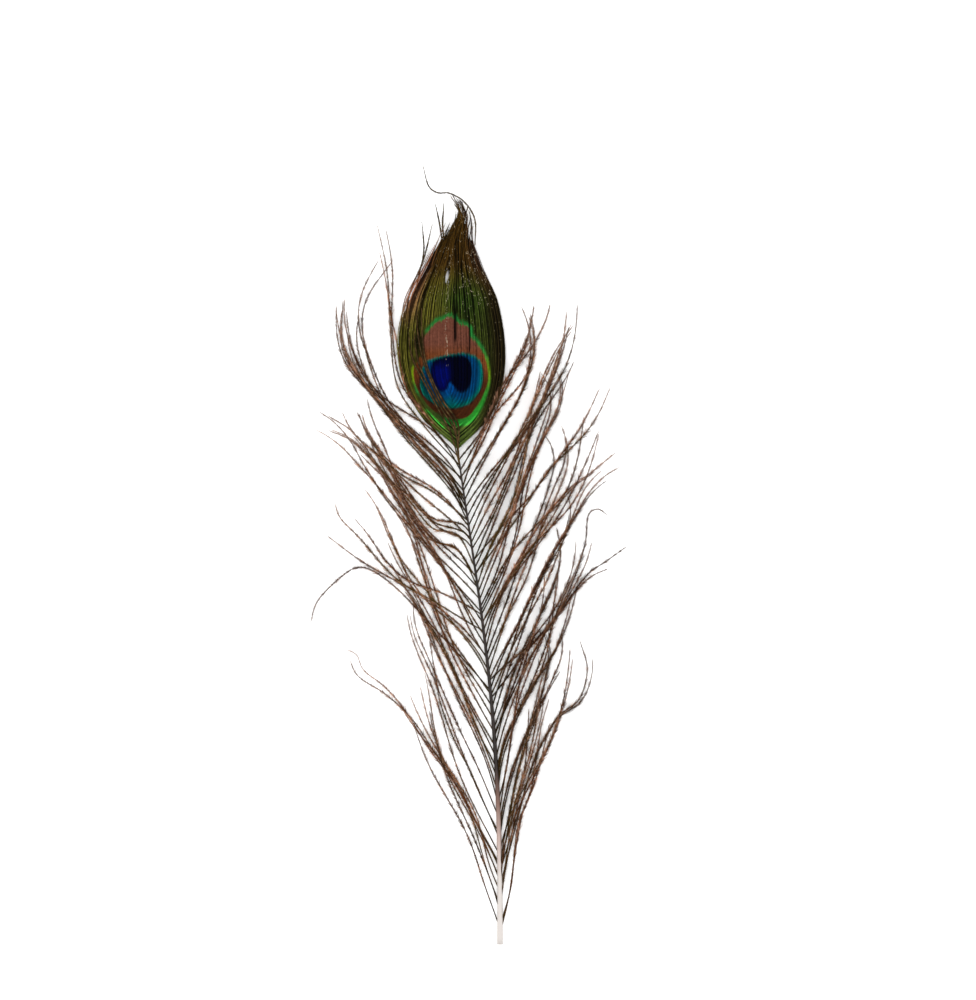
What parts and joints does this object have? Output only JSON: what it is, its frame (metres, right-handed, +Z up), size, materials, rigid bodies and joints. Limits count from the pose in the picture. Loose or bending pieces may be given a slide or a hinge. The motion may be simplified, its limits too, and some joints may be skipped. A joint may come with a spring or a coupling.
{
  "type": "peacock feather",
  "caption": "Peacock tail feather with an eye, cut through its pale shaft, with loose barbs along both sides, lying flat and face up.",
  "frame": {"origin": "middle of the feather's bounding box, at the height of the surface that it lies on", "axes": "+Y along the straight part of the shaft, from the cut end towards the eye; +Z up out of the feather's face; +X to the right"},
  "size_m": [0.128, 0.3112, 0.0058],
  "materials": {
    "feather": "fine iridescent barbs: copper brown loose barbs, a blue, bronze and green eye, and a pale pinkish shaft of smooth horn"
  },
  "bodies": {
    "root": {"feather": "feather"}
  },
  "joints": []
}
